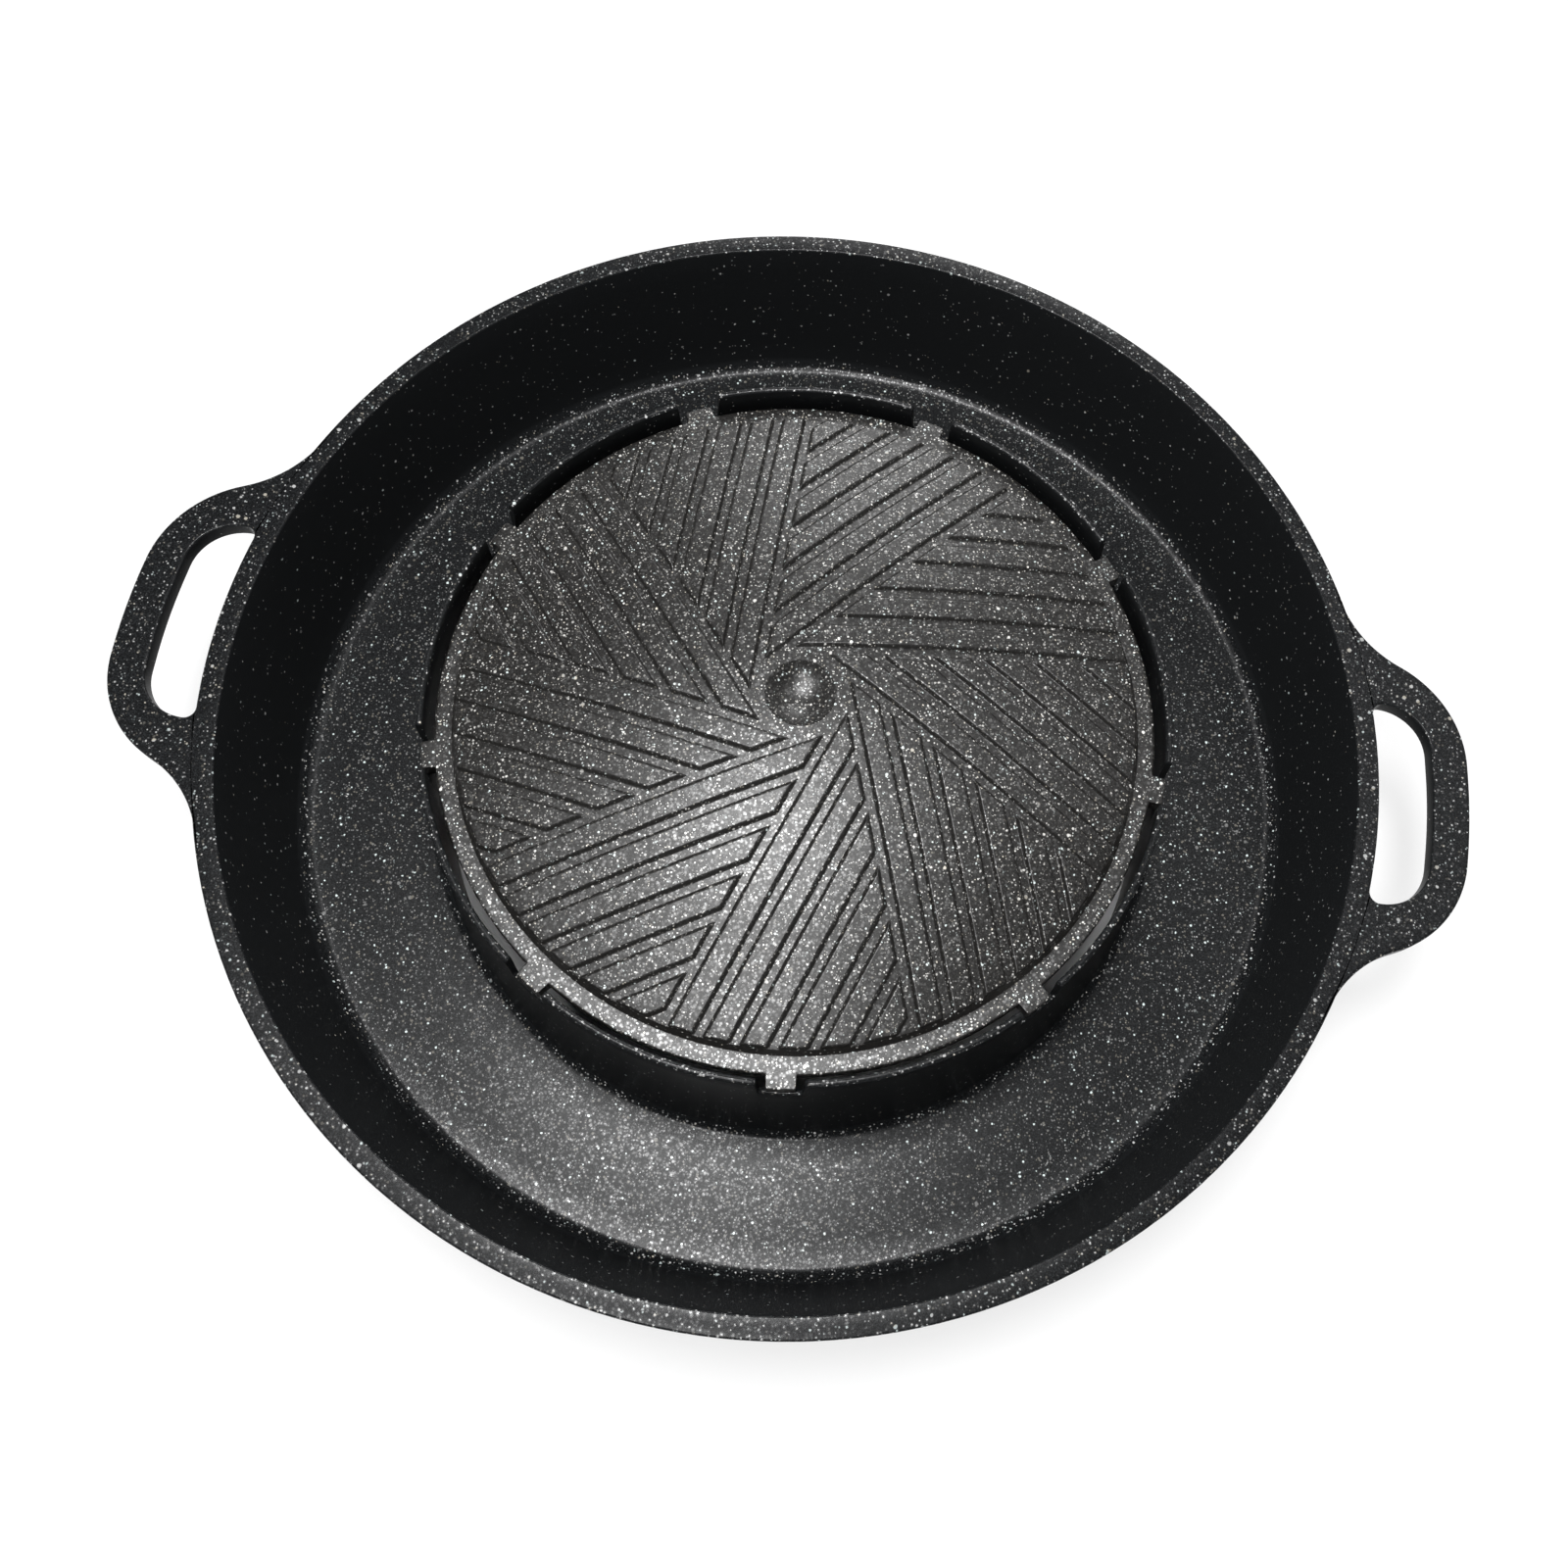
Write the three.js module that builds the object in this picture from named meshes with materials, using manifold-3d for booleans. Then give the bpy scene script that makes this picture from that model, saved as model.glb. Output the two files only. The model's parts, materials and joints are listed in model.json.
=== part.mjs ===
// Hot pot grill pan: a pan with a ring-shaped soup moat round a notched collar, and a domed grill plate
// that drops into the collar. Millimetres, +Z up, base on z = 0, handles along X.
import * as THREE from "three";
import { mergeVertices } from "three/addons/utils/BufferGeometryUtils.js";
import Module from "manifold-3d";

const wasm = await Module();
wasm.setup();

const { degToRad } = THREE.MathUtils;
const FULL_TURN = 2 * Math.PI;

// Pan: outside rim, leaning wall and moat floor
const RIM_RADIUS = 160;
const RIM_WIDTH = 5.6;
const RIM_HEIGHT = 52;
const RIM_ROUND = 0.6; // also rounds the handles' edges
const BEAD_HEIGHT = 5; // also the thickness of the handles
const EDGE_ROUND = 1;
const WALL_THICKNESS = 4;
const WALL_LEAN = 7.4; // how far the inside wall comes in between the rim and the floor
const FLOOR_THICKNESS = 4.5;
const FLOOR_FILLET = 4.5;
const BASE_FILLET = 8;

// Collar that stands in the middle of the pan and is open below
const COLLAR_RADIUS = 102; // outside, at the lip
const COLLAR_HEIGHT = 55.8;
const COLLAR_WALL = 2;
const COLLAR_FLARE = 5.8; // how much wider the outside is at the moat floor than at the lip
const COLLAR_FILLET = 3;
const CHIMNEY_FLARE = 4.4; // how much wider the inside is at the base than at the lip

// Loop handles, cast flush with the rim
const LUG_REACH = 25.4; // from the rim to the handle's outer edge
const LUG_END_HALF = 33.7; // half the length of the outer edge, before its corners are rounded
const LUG_SPLAY = degToRad(23.9); // angle of the handle's sides to X
const LUG_CORNER = 32;
const LUG_BLEND = 33;
const LUG_BLEND_ROOM = 0.6; // length of rim that the blend may take, as a share of its radius
const LUG_STRAIGHT = 0.3; // least straight length between two of the handle's fillets
const GRIP_ARC = degToRad(4); // half the angle over which the grip follows the rim's curve
const SLOT_HALF = 29.2;
const SLOT_WIDTH = 15;
const SLOT_LEDGE = 0.3; // between the rim's outside and the slot
const SLOT_INNER_CORNER = 3.5;
const SLOT_OUTER_CORNER = 13.5;

// Notches in the collar, and the plate's tabs that sit in them
const TAB_COUNT = 9;
const TAB_TURN = degToRad(-3.6); // direction of the first tab, from X
const NOTCH_WIDTH = 12;
const NOTCH_DEPTH = 11.1;
const NOTCH_ROUND = 1.5;
const TAB_SIDE_GAP = 2.4;
const TAB_SETBACK = 0.1; // from the outside of the collar's lip
const SEAT_GAP = 0.3;

// Grill plate: flange, step, dome and the fat dimple in its middle
const VENT_GAP = 1.8;
const FLANGE_WIDTH = 4.8;
const FLANGE_THICKNESS = 5; // at the flange's outer edge
const FLANGE_FALL = 0.2; // over the flange's width
const STEP_HEIGHT = 3.6;
const STEP_DRAFT = 1.5;
const DOME_RISE = 11.4;
const PLATE_SHELL = 4;
const DIMPLE_RADIUS = 9.5;
const DIMPLE_DEPTH = 3.5;

// Pinwheel of raised bars on the dome
const SECTOR_COUNT = 9;
const SECTOR_TURN = degToRad(9.8); // direction of the first sector's bars, from X
const BAR_WIDTH = 6;
const CHANNEL_WIDTH = 3;
const CHANNEL_DEPTH = 1.2;
const FIRST_BAR = 13.7; // from the centre line to the near side of a sector's first bar
const BAR_ROOT = 1.8; // how far the bars reach down into the shell

// Facets
const PAN_SEGMENTS = 80;
const PLATE_SEGMENTS = 60;
const DOME_STEPS = 5;
const BOWL_STEPS = 4;
const CHORD_ERROR = 0.15; // how far a chord of a rounded corner may lie off its arc
const CUT_MARGIN = 5; // how far a cutting shape runs past what it cuts
const MERGE_DISTANCE = 1e-4;

// Sizes that follow from the ones above
const MOAT_WALL_RADIUS = RIM_RADIUS - RIM_WIDTH - WALL_LEAN; // where the inside wall meets the floor
const WALL_SLOPE = WALL_LEAN / (RIM_HEIGHT - FLOOR_THICKNESS);
const COLLAR_INSIDE = COLLAR_RADIUS - COLLAR_WALL;
const NOTCH_FLOOR = COLLAR_HEIGHT - NOTCH_DEPTH;
const TAB_WIDTH = NOTCH_WIDTH - 2 * TAB_SIDE_GAP;
const TAB_RADIUS = COLLAR_RADIUS - TAB_SETBACK;
const FLANGE_RADIUS = COLLAR_INSIDE - VENT_GAP;
const STEP_RADIUS = FLANGE_RADIUS - FLANGE_WIDTH;
const DISC_RADIUS = STEP_RADIUS - STEP_DRAFT;
const PLATE_BOTTOM = NOTCH_FLOOR + SEAT_GAP;
const STEP_FOOT = PLATE_BOTTOM + FLANGE_THICKNESS + FLANGE_FALL;
const DISC_EDGE = STEP_FOOT + STEP_HEIGHT;
const DOME_TOP = DISC_EDGE + DOME_RISE;
const DOME_SPHERE = (DISC_RADIUS ** 2 + DOME_RISE ** 2) / (2 * DOME_RISE);
const SECTOR_ANGLE = FULL_TURN / SECTOR_COUNT;

// Replaces each corner [x, y, radius] of a closed outline by an arc of that radius.
function roundCorners(corners) {
  return corners.flatMap(([x, y, radius = 0], index) => {
    const corner = new THREE.Vector2(x, y);
    if (radius === 0) return [corner];
    const side = (step) => {
      const [nextX, nextY] = corners.at((index + step) % corners.length);
      return new THREE.Vector2(nextX, nextY).sub(corner).normalize();
    };
    const back = side(-1);
    const ahead = side(1);
    const half = Math.acos(back.dot(ahead)) / 2;
    const centre = back.clone().add(ahead).normalize().multiplyScalar(radius / Math.sin(half)).add(corner);
    const sweep = (Math.PI - 2 * half) * Math.sign(ahead.cross(back));
    const chord = 2 * Math.acos(1 - CHORD_ERROR / radius);
    const count = Math.ceil(Math.abs(sweep) / chord);
    const start = back.multiplyScalar(radius / Math.tan(half)).add(corner);
    const turned = (_, i) => start.clone().rotateAround(centre, (sweep * i) / count);
    return Array.from({ length: count + 1 }, turned);
  });
}

// Turns a closed outline of [radius, height] points round the Z axis.
function revolve(outline, segments) {
  return solid(new THREE.LatheGeometry([...outline, outline[0]], segments).rotateX(Math.PI / 2));
}

// Makes a solid of a closed geometry: equal points become one and faces without area go.
function solid(geometry) {
  geometry.deleteAttribute("normal");
  geometry.deleteAttribute("uv");
  const merged = mergeVertices(geometry, MERGE_DISTANCE);
  const corners = merged.index.array;
  const faces = [];
  for (let i = 0; i < corners.length; i += 3) {
    const face = corners.slice(i, i + 3);
    if (new Set(face).size === 3) faces.push(...face);
  }
  const vertProperties = merged.attributes.position.array;
  const mesh = { numProp: 3, vertProperties, triVerts: new Uint32Array(faces) };
  return new wasm.Manifold(new wasm.Mesh(mesh));
}

// Joins solids into one.
function join(...solids) {
  return solids.reduce((all, next) => all.add(next));
}

// Copies of a shape round Z: make(angle) gives each one.
function around(count, turn, make) {
  return join(...Array.from({ length: count }, (_, i) => make(turn + (i * FULL_TURN) / count)));
}

// A named mesh with its own finish.
function piece(name, shape, finish) {
  const made = shape.getMesh();
  const geometry = new THREE.BufferGeometry();
  geometry.setAttribute("position", new THREE.BufferAttribute(made.vertProperties, 3));
  geometry.setIndex(new THREE.BufferAttribute(made.triVerts, 1));
  const flat = geometry.toNonIndexed();
  flat.computeVertexNormals();
  const mesh = new THREE.Mesh(flat, new THREE.MeshStandardMaterial(finish));
  mesh.name = name;
  return mesh;
}

// The pan without handles and notches, as one turned profile from the chimney's foot outwards
function panBowl() {
  const wallOffset = WALL_THICKNESS * Math.hypot(1, WALL_SLOPE);
  const outsideAt = (height) => MOAT_WALL_RADIUS + (height - FLOOR_THICKNESS) * WALL_SLOPE + wallOffset;
  const beadFoot = RIM_HEIGHT - BEAD_HEIGHT;
  const lipRound = COLLAR_WALL / 2;
  return revolve(
    roundCorners([
      [COLLAR_INSIDE + CHIMNEY_FLARE, 0, EDGE_ROUND],
      [outsideAt(0), 0, BASE_FILLET],
      [outsideAt(beadFoot), beadFoot],
      [RIM_RADIUS, beadFoot, EDGE_ROUND],
      [RIM_RADIUS, RIM_HEIGHT, RIM_ROUND],
      [RIM_RADIUS - RIM_WIDTH, RIM_HEIGHT, RIM_ROUND],
      [MOAT_WALL_RADIUS, FLOOR_THICKNESS, FLOOR_FILLET],
      [COLLAR_RADIUS + COLLAR_FLARE, FLOOR_THICKNESS, COLLAR_FILLET],
      [COLLAR_RADIUS, COLLAR_HEIGHT, lipRound],
      [COLLAR_INSIDE, COLLAR_HEIGHT, lipRound],
    ]),
    PAN_SEGMENTS,
  );
}

// One loop handle: a flat lug that blends into the rim, with a finger slot, towards +X or, turned, -X
function handle(turn) {
  // Both sides of the grip are arcs round the pan's middle that run on in their end tangents, at this x.
  const tangentX = (radius, y) => (radius - y * Math.sin(GRIP_ARC)) / Math.cos(GRIP_ARC);
  const endRadius = RIM_RADIUS + LUG_REACH;
  const endX = tangentX(endRadius, LUG_END_HALF);
  const sideX = (y) => endX - (y - LUG_END_HALF) / Math.tan(LUG_SPLAY);
  const onRim = (radius, angle) => [radius * Math.cos(angle), radius * Math.sin(angle)];

  // The side line meets the rim where the step along it solves |end + step * direction| = rim radius.
  const along = LUG_END_HALF * Math.sin(LUG_SPLAY) - endX * Math.cos(LUG_SPLAY);
  const step = -along - Math.sqrt(along ** 2 - (endX ** 2 + LUG_END_HALF ** 2 - RIM_RADIUS ** 2));
  const meetY = LUG_END_HALF + step * Math.sin(LUG_SPLAY);
  const meetAngle = Math.atan2(meetY, sideX(meetY));
  const rootAngle = meetAngle + (LUG_BLEND * LUG_BLEND_ROOM) / RIM_RADIUS;

  // Each fillet keeps to the length that its neighbour leaves of the edge between them.
  const cornerTurn = FULL_TURN / 4 - LUG_SPLAY - GRIP_ARC;
  const endRoom = LUG_END_HALF / Math.cos(GRIP_ARC) - endRadius * Math.tan(GRIP_ARC) - LUG_STRAIGHT;
  const corner = Math.min(LUG_CORNER, endRoom / Math.tan(cornerTurn / 2));
  const blendTurn = FULL_TURN / 4 - LUG_SPLAY - (meetAngle + rootAngle) / 2;
  const sideRoom = step - corner * Math.tan(cornerTurn / 2) - LUG_STRAIGHT;
  const blend = Math.min(LUG_BLEND, sideRoom / Math.tan(blendTurn / 2));

  const rootRadius = RIM_RADIUS - RIM_WIDTH + EDGE_ROUND;
  const rootCount = 8;
  const root = Array.from({ length: rootCount + 1 }, (_, i) =>
    onRim(rootRadius, rootAngle * (1 - (2 * i) / rootCount)),
  );
  const lug = new THREE.Shape(
    roundCorners([
      [endX, -LUG_END_HALF, corner],
      [tangentX(endRadius, 0), 0, endRadius],
      [endX, LUG_END_HALF, corner],
      [sideX(meetY), meetY, blend],
      onRim(RIM_RADIUS, rootAngle),
      ...root,
      onRim(RIM_RADIUS, -rootAngle),
      [sideX(meetY), -meetY, blend],
    ]),
  );

  const slotRadius = RIM_RADIUS + SLOT_LEDGE;
  const gripRadius = slotRadius + SLOT_WIDTH;
  const slotX = tangentX(gripRadius, SLOT_HALF);
  const slotAngle = Math.asin(SLOT_HALF / slotRadius);
  const slotCount = 6;
  const slotSide = Array.from({ length: slotCount - 1 }, (_, i) =>
    onRim(slotRadius, slotAngle * (1 - (2 * (i + 1)) / slotCount)),
  );
  const slot = roundCorners([
    [slotX, -SLOT_HALF, SLOT_OUTER_CORNER],
    [tangentX(gripRadius, 0), 0, gripRadius],
    [slotX, SLOT_HALF, SLOT_OUTER_CORNER],
    [...onRim(slotRadius, slotAngle), SLOT_INNER_CORNER],
    ...slotSide,
    [...onRim(slotRadius, -slotAngle), SLOT_INNER_CORNER],
  ]);
  lug.holes.push(new THREE.Path(slot));

  const rounded = {
    depth: BEAD_HEIGHT - 2 * RIM_ROUND,
    bevelThickness: RIM_ROUND,
    bevelSize: RIM_ROUND,
    bevelOffset: -RIM_ROUND,
    bevelSegments: 2,
  };
  const lift = RIM_HEIGHT - BEAD_HEIGHT + RIM_ROUND;
  return solid(new THREE.ExtrudeGeometry(lug, rounded).translate(0, 0, lift).rotateZ(turn));
}

// The cutting shape of one notch, open at the collar's lip
function notch(turn) {
  const half = NOTCH_WIDTH / 2;
  const top = COLLAR_HEIGHT + CUT_MARGIN;
  const outline = new THREE.Shape(
    roundCorners([
      [-half, NOTCH_FLOOR, NOTCH_ROUND],
      [half, NOTCH_FLOOR, NOTCH_ROUND],
      [half, top],
      [-half, top],
    ]),
  );
  const depth = COLLAR_WALL + COLLAR_FLARE + 2 * CUT_MARGIN;
  const across = new THREE.Matrix4().makeBasis(
    new THREE.Vector3(0, 1, 0),
    new THREE.Vector3(0, 0, 1),
    new THREE.Vector3(1, 0, 0),
  );
  const cutter = new THREE.ExtrudeGeometry(outline, { depth, bevelEnabled: false }).applyMatrix4(across);
  return solid(cutter.translate(COLLAR_INSIDE - CUT_MARGIN, 0, 0).rotateZ(turn));
}

// Height of the dome at a radius, lowered by a drop
function domeHeight(radius, drop) {
  return DOME_TOP - drop - (DOME_SPHERE - Math.sqrt(DOME_SPHERE ** 2 - radius ** 2));
}

// Points of the dome from one radius to another
function domeLine(from, to, drop) {
  return Array.from({ length: DOME_STEPS + 1 }, (_, i) => {
    const radius = from + ((to - from) * i) / DOME_STEPS;
    return new THREE.Vector2(radius, domeHeight(radius, drop));
  });
}

// Points of a round hollow from its middle to its edge
function bowlLine(edgeRadius, edgeHeight, depth) {
  const sphere = (edgeRadius ** 2 + depth ** 2) / (2 * depth);
  return Array.from({ length: BOWL_STEPS }, (_, i) => {
    const radius = (edgeRadius * i) / BOWL_STEPS;
    const height = edgeHeight - depth + sphere - Math.sqrt(sphere ** 2 - radius ** 2);
    return new THREE.Vector2(radius, height);
  });
}

// The plate at channel level, with its flange as wide as the tabs reach
function plateShell() {
  const under = CHANNEL_DEPTH + PLATE_SHELL;
  const skirt = DISC_RADIUS - PLATE_SHELL;
  const bulge = DIMPLE_RADIUS + EDGE_ROUND;
  const dimpleEdge = domeHeight(DIMPLE_RADIUS, CHANNEL_DEPTH);
  const bulgeEdge = domeHeight(bulge, under);
  const lowEdge = DISC_RADIUS + (STEP_DRAFT * CHANNEL_DEPTH) / STEP_HEIGHT;
  const tabTop = STEP_FOOT - (FLANGE_FALL * (TAB_RADIUS - STEP_RADIUS)) / FLANGE_WIDTH;
  const bottom = bowlLine(bulge, bulgeEdge, bulgeEdge - dimpleEdge + DIMPLE_DEPTH + PLATE_SHELL);
  return revolve(
    [
      ...bottom,
      ...domeLine(bulge, skirt, under),
      new THREE.Vector2(skirt, PLATE_BOTTOM),
      new THREE.Vector2(TAB_RADIUS, PLATE_BOTTOM),
      new THREE.Vector2(TAB_RADIUS, tabTop),
      new THREE.Vector2(STEP_RADIUS, STEP_FOOT),
      ...domeLine(lowEdge, DIMPLE_RADIUS, CHANNEL_DEPTH),
      ...bowlLine(DIMPLE_RADIUS, dimpleEdge, DIMPLE_DEPTH).reverse(),
    ],
    PLATE_SEGMENTS,
  );
}

// What is cut off the wide flange between the tabs
function tabGaps() {
  const outer = TAB_RADIUS + CUT_MARGIN;
  const low = PLATE_BOTTOM - CUT_MARGIN;
  const high = STEP_FOOT + CUT_MARGIN;
  const outline = [
    [FLANGE_RADIUS, low],
    [outer, low],
    [outer, high],
    [FLANGE_RADIUS, high],
  ];
  const ring = revolve(roundCorners(outline), PLATE_SEGMENTS);
  const length = outer - FLANGE_RADIUS + 2 * CUT_MARGIN;
  const height = high - low + 2 * CUT_MARGIN;
  const tab = (turn) => {
    const block = new THREE.BoxGeometry(length, TAB_WIDTH, height);
    return solid(block.translate((outer + FLANGE_RADIUS) / 2, 0, (low + high) / 2).rotateZ(turn));
  };
  return ring.subtract(around(TAB_COUNT, TAB_TURN, tab));
}

// One sector's parallel bars. The next sector's first channel cuts their inner ends on the slant.
function sectorBars(turn) {
  const channelLine = FIRST_BAR - CHANNEL_WIDTH;
  const innerEnd = (offset) => (offset * Math.cos(SECTOR_ANGLE) - channelLine) / Math.sin(SECTOR_ANGLE);
  const depth = DOME_TOP - PLATE_BOTTOM;
  const bars = [];
  const pitch = BAR_WIDTH + CHANNEL_WIDTH;
  for (let near = FIRST_BAR; Math.hypot(near, innerEnd(near)) < DISC_RADIUS; near += pitch) {
    const far = near + BAR_WIDTH;
    const outline = new THREE.Shape([
      new THREE.Vector2(innerEnd(near), near),
      new THREE.Vector2(DISC_RADIUS + CUT_MARGIN, near),
      new THREE.Vector2(DISC_RADIUS + CUT_MARGIN, far),
      new THREE.Vector2(innerEnd(far), far),
    ]);
    const block = new THREE.ExtrudeGeometry(outline, { depth, bevelEnabled: false });
    bars.push(solid(block.translate(0, 0, PLATE_BOTTOM).rotateZ(turn)));
  }
  return join(...bars);
}

// The pinwheel: all bars, trimmed to the dome
function pinwheel() {
  const cap = revolve(
    [
      ...domeLine(0, DISC_RADIUS, CHANNEL_DEPTH + BAR_ROOT),
      ...domeLine(DISC_RADIUS, 0, 0),
    ],
    PLATE_SEGMENTS,
  );
  return around(SECTOR_COUNT, SECTOR_TURN, sectorBars).intersect(cap);
}

const panBody = join(panBowl(), handle(0), handle(Math.PI)).subtract(around(TAB_COUNT, TAB_TURN, notch));
const grillPlate = plateShell().subtract(tabGaps()).add(pinwheel());

const hotPotGrillPan = new THREE.Group();
hotPotGrillPan.name = "hot_pot_grill_pan";
hotPotGrillPan.add(
  piece("pan_body", panBody, { color: 0x1c1d1e, roughness: 0.5, metalness: 0.1 }),
  piece("grill_plate", grillPlate, { color: 0x2b2a2a, roughness: 0.55, metalness: 0.1 }),
);

export default hotPotGrillPan;
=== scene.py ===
"""Hot pot grill pan: a speckled cast pan with a soup moat, its lift-off grill plate, and a plain studio."""

import json

import bpy
import numpy as np
from bpy.props import FloatProperty, FloatVectorProperty, IntProperty, PointerProperty
from mathutils import Matrix, Vector


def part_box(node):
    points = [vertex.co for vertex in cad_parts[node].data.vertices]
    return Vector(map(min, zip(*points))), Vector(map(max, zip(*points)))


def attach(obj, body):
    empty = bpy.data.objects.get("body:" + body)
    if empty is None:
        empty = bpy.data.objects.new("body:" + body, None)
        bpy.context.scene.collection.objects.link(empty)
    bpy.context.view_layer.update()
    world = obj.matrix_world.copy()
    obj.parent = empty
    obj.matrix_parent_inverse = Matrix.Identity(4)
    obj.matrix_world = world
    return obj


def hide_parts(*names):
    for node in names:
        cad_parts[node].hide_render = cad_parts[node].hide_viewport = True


bl_info = {
    "name": "Hot Pot Grill Pan",
    "version": (1, 0, 0),
    "blender": (4, 5, 0),
    "location": "View3D > Sidebar > Grill Pan",
    "description": "Builds a speckled hot pot pan with a lift-off pinwheel grill plate, and a studio for it",
    "category": "Object",
}

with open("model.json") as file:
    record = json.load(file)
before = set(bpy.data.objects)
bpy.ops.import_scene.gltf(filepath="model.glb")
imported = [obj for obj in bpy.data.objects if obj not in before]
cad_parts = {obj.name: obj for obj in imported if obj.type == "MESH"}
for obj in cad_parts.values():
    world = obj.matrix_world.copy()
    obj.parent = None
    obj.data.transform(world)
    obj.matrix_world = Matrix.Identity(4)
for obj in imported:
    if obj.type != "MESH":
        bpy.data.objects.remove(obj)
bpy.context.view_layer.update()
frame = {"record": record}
PAN_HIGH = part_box("pan_body")[1]
PLATE_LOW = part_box("grill_plate")[0]
MOUNTS = {mount["name"]: mount for mount in frame["record"]["mounts"]}

FULL_TURN = 2 * np.pi

# Facets: the largest turn and the longest chord of a rounded corner, and the angle at which shading breaks
ROUND_STEP = np.radians(15)
ROUND_CHORD = 0.0015
SHARP_ANGLE = np.radians(40)
QUARTER = np.linspace(0, np.pi / 2, 6)  # angles round an edge
CLOSE_ROW = 0.0002  # a row this near an edge keeps the edge's shading narrow

# Rows of the grids, with both ends counted
COLLAR_ROWS, LIP_ROWS = 8, 11
ROOT_POINTS, SLOT_POINTS, GRIP_ROWS = 49, 11, 12
DIMPLE_ROWS, DOME_ROWS, FLANGE_ROWS = 9, 24, 4
HOLLOW_ROWS, BULGE_ROWS = 12, 6
BAR_SIDE_ROWS, BAR_ROWS = 8, 18
BACKDROP_COLUMNS = 96

# Small sizes of the pan, in metres
PAN_EDGE = 0.001  # rounding of the chimney's foot and of the bead
BEAD_FOOT = 0.0008  # rounding between wall and bead
NOTCH_CORNERS = (0.0008, 0.0012)  # rounding of a notch at the lip and at its foot
FLARE_POWER = 1.7  # power by which the collar flares towards the floor
LIP_ROUND = 0.35  # height of the collar's round lip, as a share of its thickness

# Small sizes of the handles
BLEND_ROOM = 0.6  # length of rim that a blend takes, as a share of its radius
ROOT_TUCK = 2e-5  # how far a handle's root reaches under the rim's flat top
UNDERSIDE_LIFT = 1e-4  # keeps a handle's underside out of the plane of the bead's

# Small sizes of the plate
TAB_SLOPE = 0.0003  # lean of a tab's sides
TAB_CORNERS = (0.0005, 0.0006)  # rounding of a tab at the flange and at its end
STEP_FOOT = 0.0003  # rounding between step and flange
SKIRT_EDGE = 0.0008  # rounding of the skirt's lower edge
HOLLOW_CORNER = 0.002  # rounding between skirt and hollow
BULGE_ROOM = 0.001  # how much wider the dimple is below
BAR_ROOT = 0.0014  # how far a bar's sides reach below the channels
BAR_END_ROOT = 0.0005  # how far a bar's outer end reaches below the channels
BAR_SETBACK = 5e-5  # from the disc's edge to a bar's outer end
CROWN_ROWS = np.array([-0.93, 0, 0.93])  # rows on a bar's flat top, as shares of its half width

# Specks in layers: spacing and radius as shares of the finest spacing, and softness of the edge
SPECK_LAYERS = ((1, 0.4, 0.6), (1.7, 0.55, 0.5), (4.5, 0.8, 0.4))
GRAIN_LAYER = (0.0009, 0.0008, 0.9)  # the same for the gloss's grains, in metres
SMALLEST, FAINTEST = 0.45, 0.15  # least radius and strength of a speck, as shares of the largest
WARM_SPECKS = (0.1, 0.2)  # a speck is warm where its random number is below these
COOL_SPECKS = (0.85, 0.9)  # and cool where it is above these

# Ground of the coating: noise scales per metre, and tones as shares of its colour, the steep faces' tone
# being painted light
RUFFLE_SCALE, RUFFLE = 1500.0, 0.0004  # noise that frays the specks, and how far it moves them in metres
DUST_SCALE, DUST_FADE = 2400.0, (0.4, 0.7)
# the steep faces' ground is painted lighter: painted light on the pan's inside walls
LIGHT_DUST, DARK_DUST, STEEP_PAINTED_LIGHT = 2.5, 0.7, 2.0
GROUND_ROUGHNESS = 0.34
LEAST_GLOSS = 0.1  # gloss between the grains
SPECK_BUMP, BUMP_STRENGTH, BUMP_HEIGHT = 0.3, 0.15, 0.0002

# Where the coating changes: distances from the middle, and parts of a face's direction
MOAT_EDGE = (0.13, 0.14)
RIM_EDGE = (0.15, 0.156)
STEEP_FACE = (0.35, 0.8)
FACING_OUT = (0.0, 0.02)  # the outward part times the distance

# Studio, in metres
LAMP_AIM = (0, 0, 0.05)
FLOOR_LEVEL = -0.0002
FLOOR_RADIUS, WALL_BEND, WALL_HEIGHT = 4.0, 1.2, 2.6
FLOOR_WHITE = 0.7  # share of plain white in the floor as it is seen
UNDER_PAN = (0.11, 0.14)  # distances from the middle between which that white begins


# Settings


def length(label, default, words):
    """A length in metres."""
    return FloatProperty(name=label, description=words, default=default, precision=5, unit="LENGTH")


def angle(label, degrees, words):
    """An angle, given here in degrees."""
    return FloatProperty(name=label, description=words, default=np.radians(degrees), subtype="ANGLE")


def share(label, default, words):
    """A part of one."""
    return FloatProperty(name=label, description=words, default=default, min=0.0, max=1.0, subtype="FACTOR")


def colour(label, default, words):
    """A linear colour."""
    return FloatVectorProperty(
        name=label, description=words, default=default, min=0.0, max=1.0, subtype="COLOR"
    )


def number(label, default, least, words):
    """A whole number."""
    return IntProperty(name=label, description=words, default=default, min=least)


def refraction(label, default, words):
    """A refractive index."""
    return FloatProperty(name=label, description=words, default=default, min=1.0)


def power(label, default, words):
    """A lamp's power in watts."""
    return FloatProperty(name=label, description=words, default=default, min=0.0, unit="POWER")


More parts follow.
